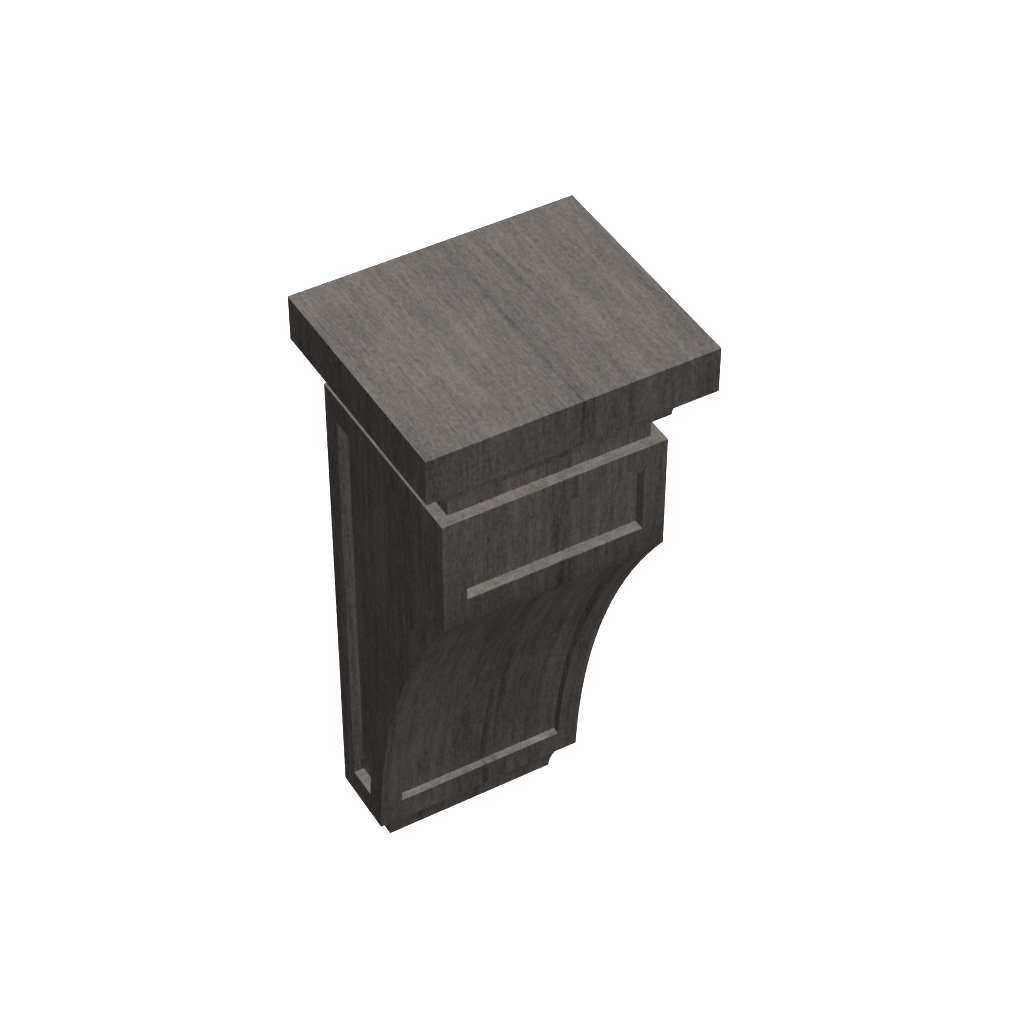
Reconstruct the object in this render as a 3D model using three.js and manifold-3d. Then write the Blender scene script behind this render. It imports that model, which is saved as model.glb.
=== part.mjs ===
// A wall corbel in stained wood: a cap board and a cove-edged bed board on a panelled body with a hollow front,
// and a small cove-edged foot under it. The pieces are glued to each other, face to face.
// Millimetres, +Z up. The backs of all pieces lie on the wall, y = 0, and the front faces -Y.
// The origin is the middle of the back.
import * as THREE from "three";
import { mergeVertices } from "three/addons/utils/BufferGeometryUtils.js";
import Module from "manifold-3d";

const manifoldLibrary = await Module();
manifoldLibrary.setup();

// Cap board
const capWidth = 152.4;
const capDepth = 130.8;
const capThickness = 25.7;

// Bed board under the cap
const bedHeight = 19.1;
const bedSetback = 7.5; // from the cap's edge to the bed board's upper edge
const bedCoveWidth = 7.5; // how far the cove brings the underside in
const bedCoveHeight = 12.3; // the rest of the height is a square edge above the cove

// Body
const bodyWidth = 120.4;
const bodyDepth = 115.2;
const neckHeight = 15;
const neckInset = 6; // how far the neck stands back from the body's front and sides
const blockHeight = 66.3; // the flat front, from the ledge at the neck down to the hollow
const hollowHeight = 213; // the hollow front, from the flat front down to the foot
const toeDepth = 40; // the hollow's least depth, level with the foot's underside

// Recesses in the body
const frontRecessDepth = 6;
const frontStile = 12.6;
const frontTopRail = 14.6;
const frontBottomRail = 15;
const hollowRecessDepth = 4.1;
const hollowTopRail = 12.5; // measured along the curve
const hollowBottomRail = 15.5;
const sideRecessDepth = 5.8;
const sideRearStile = 12;
const sideFrontStile = 12;
const sideTopRail = 15.8;
const sideBottomRail = 16;

// Foot board
const footHeight = 22.2;
const footInset = 10.6; // how far the cove brings the underside in on each side and in front

// How finely curves are divided, and how far a cutter runs past the face that it cuts
const curveSteps = 28;
const overrun = 4;

const bodyHeight = neckHeight + blockHeight + hollowHeight;
const totalHeight = capThickness + bedHeight + bodyHeight + footHeight;

// The hollow is an arc in the side view. Its centre stands in front of the corbel, level with the foot's
// underside, so the curve comes down plumb there. Heights are from the body's underside.
const hollowRise = hollowHeight + footHeight;
const hollowRun = bodyDepth - toeDepth;
const hollowRadius = (hollowRise ** 2 + hollowRun ** 2) / (2 * hollowRun);
const hollowCentre = new THREE.Vector2(-toeDepth - hollowRadius, -footHeight);

/** Height above the hollow's centre, as an angle on a circle of the given radius about it. */
function angleAtHeight(height, radius) {
  return Math.asin((height - hollowCentre.y) / radius);
}

/** Points on the circle of the given radius about the hollow's centre, from one angle up to another. */
function hollowArc(radius, fromAngle, toAngle) {
  const arc = new THREE.EllipseCurve(hollowCentre.x, hollowCentre.y, radius, radius, fromAngle, toAngle);
  return arc.getPoints(curveSteps);
}

/** The body's depth at a height on the hollow. */
function hollowDepthAt(height) {
  return -hollowCentre.x - hollowRadius * Math.cos(angleAtHeight(height, hollowRadius));
}

const point = (x, y) => new THREE.Vector2(x, y);

/** A closed solid for cutting and joining, from a three.js geometry. */
function toSolid(geometry) {
  const bare = new THREE.BufferGeometry();
  bare.setAttribute("position", geometry.getAttribute("position"));
  bare.setIndex(geometry.getIndex());
  const merged = mergeVertices(bare, 1e-4);
  const mesh = new manifoldLibrary.Mesh({
    numProp: 3,
    vertProperties: new Float32Array(merged.getAttribute("position").array),
    triVerts: new Uint32Array(merged.getIndex().array),
  });
  mesh.merge();
  return new manifoldLibrary.Manifold(mesh);
}

/** A three.js geometry with flat faces, from a solid. */
function toGeometry(solid) {
  const mesh = solid.getMesh();
  const geometry = new THREE.BufferGeometry();
  geometry.setAttribute("position", new THREE.BufferAttribute(new Float32Array(mesh.vertProperties), 3));
  geometry.setIndex(new THREE.BufferAttribute(new Uint32Array(mesh.triVerts), 1));
  const flat = geometry.toNonIndexed();
  flat.computeVertexNormals();
  return flat;
}

/** A side view, drawn as (y, z), drawn out across the width from one x to another. */
function acrossWidth(outline, fromX, toX) {
  const geometry = new THREE.ExtrudeGeometry(new THREE.Shape(outline), {
    depth: toX - fromX,
    bevelEnabled: false,
  });
  const sideways = new THREE.Matrix4().makeBasis(
    new THREE.Vector3(0, 1, 0),
    new THREE.Vector3(0, 0, 1),
    new THREE.Vector3(1, 0, 0),
  );
  geometry.applyMatrix4(sideways);
  geometry.translate(fromX, 0, 0);
  return toSolid(geometry);
}

/** A front view, drawn as (x, z), drawn out from the wall to the given depth. */
function fromWall(outline, depth) {
  const geometry = new THREE.ExtrudeGeometry(new THREE.Shape(outline), { depth, bevelEnabled: false });
  geometry.rotateX(Math.PI / 2);
  return toSolid(geometry);
}

/** One edge of a cove-edged board, as (distance out, height), from the foot of the cove to the board's top. */
function coveEdge(edge, height, coveWidth, coveHeight) {
  const radius = (coveHeight ** 2 + coveWidth ** 2) / (2 * coveWidth);
  const topAngle = Math.PI - Math.asin(Math.min(1, coveHeight / radius));
  const cove = new THREE.EllipseCurve(edge - coveWidth + radius, 0, radius, radius, Math.PI, topAngle, true);
  const points = cove.getPoints(curveSteps);
  if (height > coveHeight) {
    points.push(point(edge, height));
  }
  return points;
}

/** A board against the wall with the same cove on both ends and the front, mitred at the corners. */
function coveBoard(width, depth, height, coveWidth, coveHeight) {
  const front = coveEdge(depth, height, coveWidth, coveHeight).map((p) => point(-p.x, p.y));
  const right = coveEdge(width / 2, height, coveWidth, coveHeight);
  const left = right.map((p) => point(-p.x, p.y)).reverse();
  const sideView = [point(0, 0), ...front, point(0, height)];
  const frontView = [...right, ...left];
  return acrossWidth(sideView, -width / 2, width / 2).intersect(fromWall(frontView, depth));
}

/** The body before its recesses: the side view cut to the front view, so the neck is narrow all round. */
function bodyBlock() {
  const ledge = bodyHeight - neckHeight;
  const sideView = [
    point(0, 0),
    ...hollowArc(hollowRadius, angleAtHeight(0, hollowRadius), angleAtHeight(hollowHeight, hollowRadius)),
    point(-bodyDepth, ledge),
    point(-bodyDepth + neckInset, ledge),
    point(-bodyDepth + neckInset, bodyHeight),
    point(0, bodyHeight),
  ];
  const half = bodyWidth / 2;
  const frontView = [
    point(-half, 0),
    point(half, 0),
    point(half, ledge),
    point(half - neckInset, ledge),
    point(half - neckInset, bodyHeight),
    point(-half + neckInset, bodyHeight),
    point(-half + neckInset, ledge),
    point(-half, ledge),
  ];
  return acrossWidth(sideView, -half, half).intersect(fromWall(frontView, bodyDepth));
}

/** The cutter for the square recess in the flat front. */
function frontRecess() {
  const half = bodyWidth / 2 - frontStile;
  const top = bodyHeight - neckHeight - frontTopRail;
  const bottom = hollowHeight + frontBottomRail;
  const outline = [
    point(-bodyDepth - overrun, bottom),
    point(-bodyDepth + frontRecessDepth, bottom),
    point(-bodyDepth + frontRecessDepth, top),
    point(-bodyDepth - overrun, top),
  ];
  return acrossWidth(outline, -half, half);
}

/** The cutter for the recess in the hollow: its floor follows the curve and its ends stand square to it. */
function hollowRecess() {
  const half = bodyWidth / 2 - frontStile;
  const bottomAngle = angleAtHeight(hollowBottomRail, hollowRadius);
  const topAngle = angleAtHeight(hollowHeight, hollowRadius) - hollowTopRail / hollowRadius;
  const floor = hollowArc(hollowRadius + hollowRecessDepth, bottomAngle, topAngle);
  const mouth = hollowArc(hollowRadius - overrun, bottomAngle, topAngle).reverse();
  return acrossWidth([...floor, ...mouth], -half, half);
}

/** The cutter for a side recess, between two x; its front edge keeps one stile behind the body's outline. */
function sideRecess(fromX, toX) {
  const radius = hollowRadius + sideFrontStile;
  const front = -bodyDepth + sideFrontStile;
  const top = bodyHeight - neckHeight - sideTopRail;
  const topAngle = Math.acos((front - hollowCentre.x) / radius);
  const outline = [
    point(-sideRearStile, sideBottomRail),
    ...hollowArc(radius, angleAtHeight(sideBottomRail, radius), topAngle),
    point(front, top),
    point(-sideRearStile, top),
  ];
  return acrossWidth(outline, fromX, toX);
}

/** The body, with its front, hollow and side recesses. */
function bodySolid() {
  const half = bodyWidth / 2;
  const floor = half - sideRecessDepth;
  return bodyBlock()
    .subtract(frontRecess())
    .subtract(hollowRecess())
    .subtract(sideRecess(-half - overrun, -floor))
    .subtract(sideRecess(floor, half + overrun));
}

/** Dark grey-brown stained wood, matt. */
function stainedWood(shade) {
  return new THREE.MeshStandardMaterial({ color: shade, roughness: 0.75, metalness: 0 });
}

/** One piece, named and stood at its height over the foot's underside. */
function addPiece(name, geometry, bottom, shade) {
  const mesh = new THREE.Mesh(geometry, stainedWood(shade));
  mesh.name = name;
  mesh.position.z = bottom - totalHeight / 2;
  corbel.add(mesh);
}

const corbel = new THREE.Group();
corbel.name = "corbel";

const bodyUnderside = footHeight;
const bedUnderside = bodyUnderside + bodyHeight;
const capUnderside = bedUnderside + bedHeight;

const capBoard = new THREE.BoxGeometry(capWidth, capDepth, capThickness);
capBoard.translate(0, -capDepth / 2, capThickness / 2);
addPiece("cap", capBoard, capUnderside, 0x5d5652);

const bedBoard = coveBoard(
  capWidth - 2 * bedSetback,
  capDepth - bedSetback,
  bedHeight,
  bedCoveWidth,
  bedCoveHeight,
);
addPiece("bed_mould", toGeometry(bedBoard), bedUnderside, 0x59524e);

addPiece("body", toGeometry(bodySolid()), bodyUnderside, 0x57504c);

const footBoard = coveBoard(bodyWidth, hollowDepthAt(0), footHeight, footInset, footHeight);
addPiece("foot", toGeometry(footBoard), 0, 0x59524e);

export default corbel;
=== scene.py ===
import math
import bmesh
import bpy
from mathutils import Euler, Matrix, Vector


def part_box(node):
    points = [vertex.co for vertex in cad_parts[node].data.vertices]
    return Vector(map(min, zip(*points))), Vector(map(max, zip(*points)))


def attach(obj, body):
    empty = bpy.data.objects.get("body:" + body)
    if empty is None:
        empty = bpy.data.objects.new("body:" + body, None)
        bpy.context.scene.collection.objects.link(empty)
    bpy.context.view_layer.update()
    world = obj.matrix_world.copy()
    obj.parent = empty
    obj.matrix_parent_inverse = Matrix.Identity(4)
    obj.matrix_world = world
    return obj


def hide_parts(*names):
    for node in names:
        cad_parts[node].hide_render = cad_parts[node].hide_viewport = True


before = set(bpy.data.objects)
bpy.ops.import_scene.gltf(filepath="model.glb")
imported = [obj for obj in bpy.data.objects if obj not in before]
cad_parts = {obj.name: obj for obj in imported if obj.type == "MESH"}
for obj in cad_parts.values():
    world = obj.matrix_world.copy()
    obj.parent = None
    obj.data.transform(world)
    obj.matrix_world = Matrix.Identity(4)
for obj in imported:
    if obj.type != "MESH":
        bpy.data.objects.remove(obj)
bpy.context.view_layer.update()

# Camera. It looks down on the corbel from the front left, from so far that upright edges barely converge.
# Lengths are in metres, the lens in millimetres and the angles in degrees.
LENS = 107.0
LOOKS_DOWN = 43.28
HEADS_RIGHT = 30.21
TILTS = 0.106
DISTANCE = 1.4568
LOOKS_AT = Vector((0.0019, -0.0710, 0.0657))

camera_data = bpy.data.cameras.new("camera")
camera_data.lens = LENS
camera_data.sensor_width = 36.0
camera_data.clip_end = 50.0
camera = bpy.data.objects.new("camera", camera_data)
bpy.context.scene.collection.objects.link(camera)
heading = Euler((math.radians(90 - LOOKS_DOWN), 0, math.radians(-HEADS_RIGHT))).to_matrix()
camera.rotation_euler = (heading @ Matrix.Rotation(math.radians(TILTS), 3, "Z")).to_euler()
view_direction = heading @ Vector((0, 0, -1))
camera.location = LOOKS_AT - view_direction * DISTANCE
bpy.context.scene.camera = camera

# The body. One block of close-grained wood carries everything: a narrow neck at the top, a flat front that
# sweeps back below in a hollow, and shallow recesses sawn and routed square into the front, the hollow and
# both sides. All its arrises are eased by a pass of sandpaper.
NECK_HEIGHT = 0.015
NECK_INSET = 0.006
BLOCK_HEIGHT = 0.0663
TOE_DEPTH = 0.04
FRONT_RECESS_DEPTH = 0.006
FRONT_STILE = 0.0126
FRONT_TOP_RAIL = 0.0146
FRONT_BOTTOM_RAIL = 0.015
HOLLOW_RECESS_DEPTH = 0.0041
HOLLOW_TOP_RAIL = 0.0125
HOLLOW_BOTTOM_RAIL = 0.0155
SIDE_RECESS_DEPTH = 0.0058
SIDE_REAR_STILE = 0.012
SIDE_FRONT_STILE = 0.012
SIDE_TOP_RAIL = 0.0158
SIDE_BOTTOM_RAIL = 0.016
BODY_ARRIS = 0.00025
HOLLOW_SIDES = 480  # straight sides in the full circle that the hollow is a part of
PAST_FACE = 0.01  # how far a cutter runs past the face that it cuts
NEAR = 0.0005  # how near to a surface a point counts as on it
SAME_POINT = 1e-6  # points nearer than this are one
FACING = 0.7  # the least part of a face's normal along an axis for it to look that way
SQUARE_ON = 0.95  # the same for it to lie square to the axis
FLAT_ANGLE = math.radians(0.1)  # faces that meet at less are one
SHARP_ANGLE = math.radians(25)  # edges that turn by more are eased
SMOOTH_ANGLE = math.radians(40)  # edges that turn by less are shaded smooth


def select_only(piece):
    """Makes the piece the active object and the only one that is selected."""
    bpy.ops.object.select_all(action="DESELECT")
    piece.select_set(True)
    bpy.context.view_layer.objects.active = piece


def settle(name, scale=(1, 1, 1)):
    """Names and scales the object that was just added, and puts its place and scale into its mesh."""
    piece = bpy.context.object
    piece.name = name
    piece.scale = scale
    bpy.ops.object.transform_apply(location=True, rotation=True, scale=True)
    return piece


def add_box(name, low, high):
    """A box between two corners."""
    bpy.ops.object.select_all(action="DESELECT")
    bpy.ops.mesh.primitive_cube_add(size=1, location=(Vector(low) + Vector(high)) / 2)
    return settle(name, Vector(high) - Vector(low))


def extrude(x, y, z):
    """In edit mode, draws the selected faces out by an offset."""
    bpy.ops.mesh.extrude_region_move(TRANSFORM_OT_translate={"value": (x, y, z)})


def pick_faces(piece, wanted):
    """In edit mode, selects the faces for which wanted(centre, normal) is true, and nothing else."""
    bpy.ops.mesh.select_mode(type="FACE")
    bpy.ops.mesh.select_all(action="DESELECT")
    mesh = bmesh.from_edit_mesh(piece.data)
    for face in mesh.faces:
        face.select_set(bool(wanted(face.calc_center_median(), face.normal)))
    bmesh.update_edit_mesh(piece.data)


def cut_away(piece, cutter):
    """Takes the cutter's shape out of the piece."""
    select_only(piece)
    cut = piece.modifiers.new("cut", "BOOLEAN")
    cut.operation = "DIFFERENCE"
    cut.solver = "EXACT"
    cut.object = cutter
    bpy.ops.object.modifier_apply(modifier=cut.name)
    bpy.data.objects.remove(cutter)


def add_roller(name, radius, low_x, high_x, axis_y, axis_z):
    """A long cylinder across the width, for cutting the hollow and the curves beside it."""
    bpy.ops.object.select_all(action="DESELECT")
    bpy.ops.mesh.primitive_cylinder_add(
        vertices=HOLLOW_SIDES,
        radius=radius,
        depth=high_x - low_x,
        location=((low_x + high_x) / 2, axis_y, axis_z),
        rotation=(0, math.pi / 2, 0),
    )
    return settle(name)


def ease_arrises(piece, width):
    """Joins faces that lie in one plane, rounds the sharp edges, and shades flats flat and curves smooth."""
    select_only(piece)
    bpy.ops.object.mode_set(mode="EDIT")
    bpy.ops.mesh.select_all(action="SELECT")
    bpy.ops.mesh.remove_doubles(threshold=SAME_POINT)
    bpy.ops.mesh.dissolve_limited(angle_limit=FLAT_ANGLE)
    bpy.ops.mesh.normals_make_consistent(inside=False)
    bpy.ops.object.mode_set(mode="OBJECT")
    arris = piece.modifiers.new("arris", "BEVEL")
    arris.width = width
    arris.segments = 2
    arris.limit_method = "ANGLE"
    arris.angle_limit = SHARP_ANGLE
    bpy.ops.object.modifier_apply(modifier=arris.name)
    bpy.ops.object.shade_smooth_by_angle(angle=SMOOTH_ANGLE)
    flats = piece.modifiers.new("flats", "WEIGHTED_NORMAL")
    flats.keep_sharp = True
    bpy.ops.object.modifier_apply(modifier=flats.name)


SIDE_SHIFT = 0.488  # how far aside on the plank the grain of the left and right faces lies
END_GRAIN = 15.0  # how much shorter the marks are where a level face cuts across the fibres


def lay_grain(piece, start, level_scale=END_GRAIN):
    """Lays every face flat in metres, with v along the grain: upright, and front to back on a level face.

    The pieces come off one plank, so the lines at one x run on from piece to piece; start is where on it.
    On a level face the marks are level_scale times shorter.
    """
    mesh = piece.data
    while mesh.uv_layers:
        mesh.uv_layers.remove(mesh.uv_layers[0])
    grain = mesh.uv_layers.new(name="grain")
    for face in mesh.polygons:
        side = abs(face.normal.x) > FACING
        turn = math.copysign(SIDE_SHIFT, face.normal.x)
        backward = level_scale if abs(face.normal.z) > SQUARE_ON else 1.0
        for corner in face.loop_indices:
            place = mesh.vertices[mesh.loops[corner].vertex_index].co
            across = place.y + turn if side else place.x
            along = place.z if side else place.z - place.y * backward
            grain.data[corner].uv = (across, along + start)


body_low, body_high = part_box("body")
half_width = body_high.x
body_depth = -body_low.y
body_base = body_low.z
ledge = body_high.z - NECK_HEIGHT
hollow_top = ledge - BLOCK_HEIGHT
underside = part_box("foot")[0].z
hollow_rise = hollow_top - underside
hollow_run = body_depth - TOE_DEPTH
hollow_radius = (hollow_rise ** 2 + hollow_run ** 2) / (2 * hollow_run)
axis_y = -TOE_DEPTH - hollow_radius

body = add_box("corbel_body", body_low, (body_high.x, body_high.y, ledge))

# The neck: the top is scored on three sides and its middle raised.
bpy.ops.object.mode_set(mode="EDIT")
for score, across in (
    ((half_width - NECK_INSET, 0, 0), (1, 0, 0)),
    ((-half_width + NECK_INSET, 0, 0), (1, 0, 0)),
    ((0, -body_depth + NECK_INSET, 0), (0, 1, 0)),
):
    bpy.ops.mesh.select_all(action="SELECT")
    bpy.ops.mesh.bisect(plane_co=score, plane_no=across)
pick_faces(
    body,
    lambda centre, normal: normal.z > SQUARE_ON
    and abs(centre.x) < half_width - NECK_INSET
    and centre.y > -body_depth + NECK_INSET,
)
extrude(0, 0, NECK_HEIGHT)
bpy.ops.mesh.select_all(action="SELECT")
bpy.ops.mesh.dissolve_limited(angle_limit=FLAT_ANGLE)
bpy.ops.object.mode_set(mode="OBJECT")

# The hollow is sawn out of the front.
roller = add_roller(
    "hollow_cutter", hollow_radius, -half_width - PAST_FACE, half_width + PAST_FACE, axis_y, underside
)
cut_away(body, roller)

# The front recess: the flat front is inset by the stiles, its rails are set, and the middle is sunk.
select_only(body)
bpy.ops.object.mode_set(mode="EDIT")
pick_faces(body, lambda centre, normal: normal.y < -SQUARE_ON and centre.y < -body_depth + NEAR)
bpy.ops.mesh.inset(thickness=FRONT_STILE, depth=0)
panel = bmesh.from_edit_mesh(body.data)
for corner in panel.verts:
    if corner.select:
        upper = corner.co.z > (ledge + hollow_top) / 2
        corner.co.z = ledge - FRONT_TOP_RAIL if upper else hollow_top + FRONT_BOTTOM_RAIL
bmesh.update_edit_mesh(body.data)
extrude(0, FRONT_RECESS_DEPTH, 0)


# The hollow's recess: its curve is scored at the stiles and rails, and sunk square to the curve.
def on_hollow(centre, normal):
    reach = math.hypot(centre.y - axis_y, centre.z - underside)
    return abs(reach - hollow_radius) < NEAR and normal.y < -FACING


bottom_angle = math.asin((body_base + HOLLOW_BOTTOM_RAIL - underside) / hollow_radius)
top_angle = math.asin(hollow_rise / hollow_radius) - HOLLOW_TOP_RAIL / hollow_radius
for angle in (bottom_angle, top_angle):
    pick_faces(body, on_hollow)
    place = (0, axis_y + hollow_radius * math.cos(angle), underside + hollow_radius * math.sin(angle))
    bpy.ops.mesh.bisect(plane_co=place, plane_no=(0, -math.sin(angle), math.cos(angle)))
for stile in (-half_width + FRONT_STILE, half_width - FRONT_STILE):
    pick_faces(body, on_hollow)
    bpy.ops.mesh.bisect(plane_co=(stile, 0, 0), plane_no=(1, 0, 0))


def in_hollow_panel(centre, normal):
    angle = math.atan2(centre.z - underside, centre.y - axis_y)
    return (
        on_hollow(centre, normal)
        and abs(centre.x) < half_width - FRONT_STILE
        and bottom_angle < angle < top_angle
    )


pick_faces(body, in_hollow_panel)
extrude(0, 0, 0)
deeper = (hollow_radius + HOLLOW_RECESS_DEPTH) / hollow_radius
bpy.ops.transform.resize(value=(1, deeper, deeper), center_override=(0, axis_y, underside))
bpy.ops.object.mode_set(mode="OBJECT")

# The side recesses: one cutter, curved in front to leave an even stile, is used on each side in turn.
for side in (-1, 1):
    floor_x = side * (half_width - SIDE_RECESS_DEPTH)
    open_x = side * (half_width + PAST_FACE)
    cutter = add_box(
        "side_cutter",
        (min(floor_x, open_x), -body_depth + SIDE_FRONT_STILE, body_base + SIDE_BOTTOM_RAIL),
        (max(floor_x, open_x), -SIDE_REAR_STILE, ledge - SIDE_TOP_RAIL),
    )
    stile_roller = add_roller(
        "stile_cutter",
        hollow_radius + SIDE_FRONT_STILE,
        min(floor_x, open_x) - PAST_FACE,
        max(floor_x, open_x) + PAST_FACE,
        axis_y,
        underside,
    )
    cut_away(cutter, stile_roller)
    cut_away(body, cutter)

ease_arrises(body, BODY_ARRIS)
lay_grain(body, start=0.552)

# Stained wood. A fine straight grain shows through a thin matt stain: short fibres and mottled flecks a
# millimetre or two wide, long soft bands where the growth rings run, a few dark lines, dark pores, and a
# cloudiness from wiping.
MID = 0.5  # the middle of any noise, and of the tone
DRIFT = (22.0, 11.0)  # how often the lines drift in a metre, across the grain and along it
DRIFT_REACH = 0.003  # how far they drift from side to side
FIBRE_LENGTH = 0.012
BAND_STRETCH = 36.0  # how many times longer than wide a band is
PLANK_LINES = (  # the x of a line's middle, half its width, and how much lighter than the rest it is
    (0.0035, 0.003, -0.14),
    (0.009, 0.0045, -0.06),
    (0.0225, 0.004, -0.06),
    (-0.038, 0.011, 0.06),
    (0.0375, 0.009, 0.06),
)
PORE_NOISE = (0.62, 0.74)  # the noise at which a pore begins, and at which it is as dark as it gets
PORE_SHADE = (0.72, 0.7, 0.68)
# the colour that the painted shade above the hollow multiplies the wood by
PAINTED_SHADE_COLOUR = (0.66, 0.66, 0.66)
STAIN_STOPS = (0.15, 0.85)  # the tones at which the stain has its dark and its light colour
ROUGHNESS = (0.74, 0.6)  # at the darkest tone and at the lightest
RELIEF_DEPTH = 0.0003
RELIEF_STRENGTH = 0.35
SHEEN = 0.2


def feed(tree, socket, value):
    """Gives an input a number, or links an output to it."""
    if isinstance(value, bpy.types.NodeSocket):
        tree.links.new(value, socket)
    else:
        socket.default_value = value


def calculate(tree, kind, *values):
    """The result of a math node on numbers and outputs."""
    node = tree.nodes.new("ShaderNodeMath")
    node.operation = kind
    for socket, value in zip(node.inputs, values):
        feed(tree, socket, value)
    return node.outputs[0]


def carry_over(tree, value, start, end, kind="LINEAR"):
    """A value brought from one range to another, and held at the ends."""
    node = tree.nodes.new("ShaderNodeMapRange")
    node.interpolation_type = kind
    node.inputs["From Min"].default_value, node.inputs["From Max"].default_value = start
    node.inputs["To Min"].default_value, node.inputs["To Max"].default_value = end
    tree.links.new(value, node.inputs["Value"])
    return node.outputs[0]


def darken(tree, colour, amount, shade):
    """A colour multiplied by a shade, by an amount from 0 to 1."""
    node = tree.nodes.new("ShaderNodeMix")
    node.data_type = "RGBA"
    node.blend_type = "MULTIPLY"
    node.inputs["B"].default_value = (*shade, 1)
    tree.links.new(amount, node.inputs["Factor"])
    tree.links.new(colour, node.inputs["A"])
    return node.outputs["Result"]


def build_grain_group():
    """The grain, from a flat map in metres: a tone about the middle, a mask of pores, and a height."""
    group = bpy.data.node_groups.new("wood_grain", "ShaderNodeTree")
    group.interface.new_socket(name="Surface", in_out="INPUT", socket_type="NodeSocketVector")
    for name in ("Fibre Width", "Band Width", "Band Depth"):
        group.interface.new_socket(name=name, in_out="INPUT", socket_type="NodeSocketFloat")
    for name in ("Tone", "Pores", "Height"):
        group.interface.new_socket(name=name, in_out="OUTPUT", socket_type="NodeSocketFloat")
    given = group.nodes.new("NodeGroupInput")
    out = group.nodes.new("NodeGroupOutput")
    parts = group.nodes.new("ShaderNodeSeparateXYZ")
    group.links.new(given.outputs["Surface"], parts.inputs[0])
    straight_across, along = parts.outputs[0], parts.outputs[1]

    def noise(x, y, z, detail, roughness):
        """Noise from 0 to 1, with features about one unit wide."""
        place = group.nodes.new("ShaderNodeCombineXYZ")
        for socket, value in zip(place.inputs, (x, y, z)):
            feed(group, socket, value)
        node = group.nodes.new("ShaderNodeTexNoise")
        node.inputs["Scale"].default_value = 1.0
        node.inputs["Detail"].default_value = detail
        node.inputs["Roughness"].default_value = roughness
        group.links.new(place.outputs[0], node.inputs["Vector"])
        return node.outputs["Fac"]

    # The lines drift a little from side to side as they run.
    drift_x = calculate(group, "MULTIPLY", straight_across, DRIFT[0])
    drift_y = calculate(group, "MULTIPLY", along, DRIFT[1])
    drift = noise(drift_x, drift_y, 0.0, detail=2.0, roughness=0.5)
    swing = calculate(group, "SUBTRACT", drift, MID)
    across = calculate(group, "MULTIPLY_ADD", swing, DRIFT_REACH, straight_across)

    def streaks(width, length, layer, detail=1.0):
        """Noise drawn out along the grain; each layer has a number of its own, so that no two are alike."""
        x = calculate(group, "DIVIDE", across, width)
        y = calculate(group, "DIVIDE", along, length)
        return noise(x, y, layer, detail, roughness=0.6)

    band_width, band_depth = given.outputs["Band Width"], given.outputs["Band Depth"]
    band_length = calculate(group, "MULTIPLY", band_width, BAND_STRETCH)
    fibres = streaks(given.outputs["Fibre Width"], FIBRE_LENGTH, 1.7)
    bands = streaks(band_width, band_length, 5.3, detail=2.0)
    broad_bands = streaks(0.015, 0.25, 7.7, detail=2.0)
    tone = MID
    for streak, share in (
        (fibres, 0.3),
        (streaks(0.0013, 0.05, 3.9), 0.25),  # threads
        (streaks(0.0008, 0.001, 13.9), 0.4),  # specks
        (streaks(0.0016, 0.003, 17.1), 0.55),  # flecks
        (streaks(0.003, 0.014, 11.7), 0.3),  # flames
        (bands, calculate(group, "MULTIPLY", band_depth, 0.52)),
        (broad_bands, calculate(group, "MULTIPLY", band_depth, 0.47)),
        (streaks(0.03, 0.05, 9.1), 0.25),  # cloud
    ):
        tone = calculate(group, "MULTIPLY_ADD", calculate(group, "SUBTRACT", streak, MID), share, tone)

    # The plank's own figure: a dark line near its middle with fainter ones beside it, and two pale bands.
    strength = calculate(group, "DIVIDE", streaks(0.02, 0.03, 27.5), MID)
    for middle, reach, change in PLANK_LINES:
        aside = calculate(group, "ABSOLUTE", calculate(group, "SUBTRACT", across, middle))
        line = carry_over(group, aside, (0, reach), (change, 0), "SMOOTHSTEP")
        tone = calculate(group, "MULTIPLY_ADD", line, strength, tone)

    pores = carry_over(group, streaks(0.0005, 0.006, 21.3), PORE_NOISE, (0, 1))
    group.links.new(tone, out.inputs["Tone"])
    group.links.new(pores, out.inputs["Pores"])
    group.links.new(calculate(group, "SUBTRACT", fibres, pores), out.inputs["Height"])
    return group


grain_group = build_grain_group()


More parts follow.
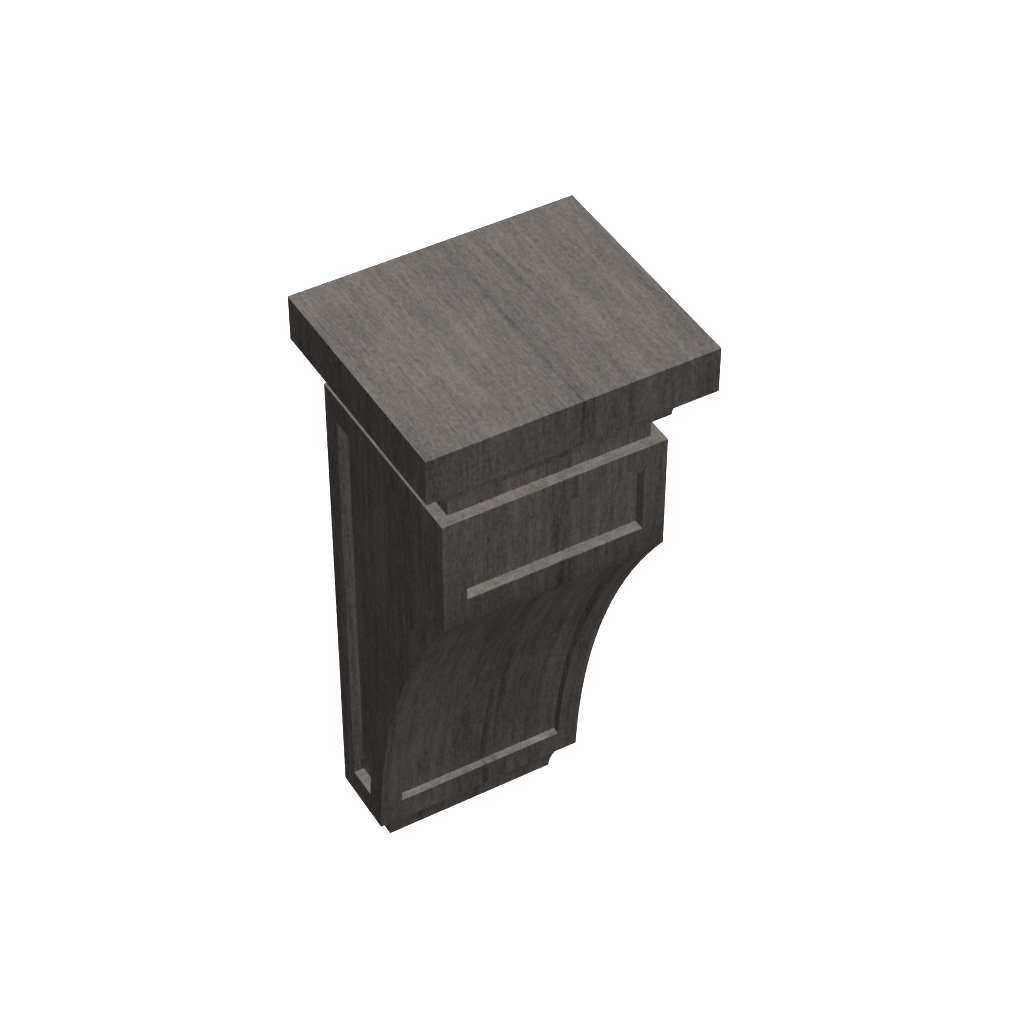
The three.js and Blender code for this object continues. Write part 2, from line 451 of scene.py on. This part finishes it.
def stained_wood(name, dark, light, fibre_width, band_width, band_depth, painted_shade=None):
    """A matt dark stain over the grain, from the colour of its dark lines to that of its light ones.

    The last argument, if given, paints shade on one face: its furthest y, and two heights; the painted shade
    is darkest at the first height and fades out up to the second.
    """
    material = bpy.data.materials.new(name)
    material.use_nodes = True
    tree = material.node_tree
    shader = tree.nodes["Principled BSDF"]
    flat_map = tree.nodes.new("ShaderNodeUVMap")
    flat_map.uv_map = "grain"
    grain = tree.nodes.new("ShaderNodeGroup")
    grain.node_tree = grain_group
    for socket, value in (
        ("Surface", flat_map.outputs[0]),
        ("Fibre Width", fibre_width),
        ("Band Width", band_width),
        ("Band Depth", band_depth),
    ):
        feed(tree, grain.inputs[socket], value)
    stain = tree.nodes.new("ShaderNodeValToRGB")
    for stop, tone, shade in zip(stain.color_ramp.elements, STAIN_STOPS, (dark, light)):
        stop.position = tone
        stop.color = (*shade, 1)
    tree.links.new(grain.outputs["Tone"], stain.inputs["Fac"])
    colour = darken(tree, stain.outputs["Color"], grain.outputs["Pores"], PORE_SHADE)
    # Painted shade: the front darkens down towards the hollow's top edge, fading out upwards.
    if painted_shade:
        face_y, darkest_z, faded_z = painted_shade
        place = tree.nodes.new("ShaderNodeTexCoord")
        parts = tree.nodes.new("ShaderNodeSeparateXYZ")
        tree.links.new(place.outputs["Object"], parts.inputs[0])
        fade = carry_over(tree, parts.outputs[2], (darkest_z, faded_z), (1, 0))
        amount = calculate(tree, "MULTIPLY", fade, fade)
        for kind, axis, limit in (("LESS_THAN", 1, face_y), ("GREATER_THAN", 2, darkest_z)):
            inside = calculate(tree, kind, parts.outputs[axis], limit)
            amount = calculate(tree, "MULTIPLY", amount, inside)
        colour = darken(tree, colour, amount, PAINTED_SHADE_COLOUR)
    relief = tree.nodes.new("ShaderNodeBump")
    relief.inputs["Strength"].default_value = RELIEF_STRENGTH
    relief.inputs["Distance"].default_value = RELIEF_DEPTH
    tree.links.new(grain.outputs["Height"], relief.inputs["Height"])
    for socket, value in (
        ("Base Color", colour),
        ("Roughness", carry_over(tree, grain.outputs["Tone"], (0, 1), ROUGHNESS)),
        ("Normal", relief.outputs[0]),
        ("Specular IOR Level", SHEEN),
    ):
        feed(tree, shader.inputs[socket], value)
    return material


# Painted shade darkens the front's lower edge: darkest at the hollow's top, fading out upwards.
PAINTED_SHADE_HEIGHT = 0.07
body_wood = stained_wood(
    "stained_wood_body",
    dark=(0.035, 0.0302, 0.0267),
    light=(0.145, 0.1273, 0.1138),
    fibre_width=0.0007,
    band_width=0.0045,
    band_depth=1.0,
    painted_shade=(-body_depth + NEAR, hollow_top, hollow_top + PAINTED_SHADE_HEIGHT),
)
body.data.materials.append(body_wood)
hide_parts("body")
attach(body, "root")

# The bed board lies on the neck. It is a board of the same wood with a cove run round its ends and front,
# mitred at the corners, under a narrow square edge, and glued down.
BED_COVE_WIDTH = 0.0075
BED_COVE_HEIGHT = 0.0123
COVE_STEPS = 24
MOULDING_ARRIS = 0.00025


def add_cove_board(name, low, high, cove_width, cove_height):
    """A board against the wall, drawn down in steps from its upper edge round the cove to its underside."""
    edge = high.z - low.z - cove_height
    radius = (cove_height ** 2 + cove_width ** 2) / (2 * cove_width)
    bpy.ops.object.select_all(action="DESELECT")
    bpy.ops.mesh.primitive_plane_add(size=1, location=((low.x + high.x) / 2, (low.y + high.y) / 2, high.z))
    board = settle(name, (high.x - low.x, high.y - low.y, 1))
    bpy.ops.object.mode_set(mode="EDIT")
    bpy.ops.mesh.select_all(action="SELECT")
    if edge > NEAR:
        extrude(0, 0, -edge)
    level = high.z - edge
    width, depth = high.x, -low.y
    top_angle = math.asin(min(1, cove_height / radius))
    for step in range(1, COVE_STEPS + 1):
        angle = top_angle * (1 - step / COVE_STEPS)
        inward = cove_width - radius * (1 - math.cos(angle))
        next_level = low.z + radius * math.sin(angle)
        next_width, next_depth = high.x - inward, -low.y - inward
        extrude(0, 0, next_level - level)
        bpy.ops.transform.resize(
            value=(next_width / width, next_depth / depth, 1), center_override=(0, 0, next_level)
        )
        level, width, depth = next_level, next_width, next_depth
    bpy.ops.object.mode_set(mode="OBJECT")
    return board


bed = add_cove_board("corbel_bed_mould", *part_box("bed_mould"), BED_COVE_WIDTH, BED_COVE_HEIGHT)
ease_arrises(bed, MOULDING_ARRIS)
lay_grain(bed, start=0.4)
bed.data.materials.append(body_wood)
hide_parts("bed_mould")
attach(bed, "root")

# The cap is a thick square-edged board, glued on the bed board, that the shelf rests on. Its grain runs from
# the wall to the front, and its arrises are rounded a little more than the rest. Its upright faces take a
# copy of its wood with deeper darks than the top's, painted shade set by which way each face looks.
CAP_ARRIS = 0.0003
cap = add_box("corbel_cap", *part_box("cap"))
ease_arrises(cap, CAP_ARRIS)
lay_grain(cap, start=0.72, level_scale=1.0)
cap_wood = stained_wood(
    "stained_wood_cap",
    dark=(0.044, 0.038, 0.034),
    light=(0.131, 0.115, 0.103),
    fibre_width=0.0008,
    band_width=0.005,
    band_depth=0.65,
)
# Painted shade: the cap's upright faces get this copy of its wood, with deeper darks than the top's.
cap_painted_shade_wood = stained_wood(
    "stained_wood_cap_painted_shade",
    dark=(0.0325, 0.0284, 0.0253),
    light=(0.1405, 0.1234, 0.1101),
    fibre_width=0.0008,
    band_width=0.005,
    band_depth=0.75,
)
cap.data.materials.append(cap_wood)
cap.data.materials.append(cap_painted_shade_wood)
# Level faces take the plain wood, upright ones the copy with painted shade.
for face in cap.data.polygons:
    face.material_index = 0 if abs(face.normal.z) > FACING else 1
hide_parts("cap")
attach(cap, "root")

# The foot closes the body below: a small board with one wide cove from its upper edge to its underside,
# run round the ends and front, and glued on.
FOOT_INSET = 0.0106
foot_low, foot_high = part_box("foot")
foot = add_cove_board("corbel_foot", foot_low, foot_high, FOOT_INSET, foot_high.z - foot_low.z)
ease_arrises(foot, MOULDING_ARRIS)
lay_grain(foot, start=0.17)
foot.data.materials.append(body_wood)
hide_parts("foot")
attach(foot, "root")

# Studio: a pale floor far below, an even light from overhead, weaker ones from every side, and a softbox in
# front to the left. None casts a shadow, as in a catalogue picture; only the even grey light of the
# surroundings leaves the inner corners a little darker.
FLOOR_DROP = 1.0
FLOOR_SIZE = 40
SUN_ANGLE = 0.3
SOFTBOX_SIZE = 0.5
bpy.ops.object.select_all(action="DESELECT")
bpy.ops.mesh.primitive_plane_add(size=FLOOR_SIZE, location=(0, 0, underside - FLOOR_DROP))
floor = bpy.context.object
floor.name = "floor"
floor.visible_diffuse = False
floor.visible_glossy = False
floor_paint = bpy.data.materials.new("floor_paint")
floor_paint.use_nodes = True
floor_shader = floor_paint.node_tree.nodes["Principled BSDF"]
floor_shader.inputs["Base Color"].default_value = (0.9, 0.9, 0.9, 1)
floor_shader.inputs["Roughness"].default_value = 0.9
floor_shader.inputs["Emission Color"].default_value = (1, 1, 1, 1)
floor_shader.inputs["Emission Strength"].default_value = 1.0
floor.data.materials.append(floor_paint)


def add_lamp(name, kind, place, strength, tint=(1, 1, 1)):
    """A lamp that shines from its place on the middle of the body and casts no shadow."""
    lamp = bpy.data.lights.new(name, kind)
    lamp.energy = strength
    lamp.color = tint
    lamp.use_shadow = False
    if kind == "AREA":
        lamp.shape = "SQUARE"
        lamp.size = SOFTBOX_SIZE
    else:
        lamp.angle = SUN_ANGLE
    holder = bpy.data.objects.new(name, lamp)
    bpy.context.scene.collection.objects.link(holder)
    holder.location = place
    aim = Vector((0, body_low.y / 2, 0)) - Vector(place)
    holder.rotation_euler = aim.to_track_quat("-Z", "Y").to_euler()


add_lamp("overhead", "SUN", place=(-0.1, -0.05, 2.0), strength=4.9, tint=(0.966, 1, 1.015))
add_lamp("left", "SUN", place=(-2.0, -0.1, 0.1), strength=0.185, tint=(1.1, 1, 1.1))
add_lamp("right", "SUN", place=(2.0, -0.3, 0.3), strength=0.6)
add_lamp("front", "SUN", place=(-0.3, -1.6, 1.1), strength=0.84)
add_lamp("low_front", "SUN", place=(0.0, -2.0, -0.5), strength=0.38)
add_lamp("behind", "SUN", place=(0.3, 2.0, 0.3), strength=0.8)
add_lamp("softbox", "AREA", place=(-0.25, -0.95, 0.55), strength=1.9)

# Seen directly, the surroundings are as white as the floor, so no horizon shows.
SURROUND = (0.07, 0.0645, 0.07)
world = bpy.data.worlds.new("studio")
world.use_nodes = True
sky = world.node_tree.nodes["Background"]
seen = world.node_tree.nodes.new("ShaderNodeLightPath")
level = world.node_tree.nodes.new("ShaderNodeMix")
level.data_type = "RGBA"
level.inputs["A"].default_value = (*SURROUND, 1)
level.inputs["B"].default_value = (1, 1, 1, 1)
world.node_tree.links.new(seen.outputs["Is Camera Ray"], level.inputs["Factor"])
world.node_tree.links.new(level.outputs["Result"], sky.inputs["Color"])
bpy.context.scene.world = world
bpy.context.scene.view_settings.view_transform = "Standard"
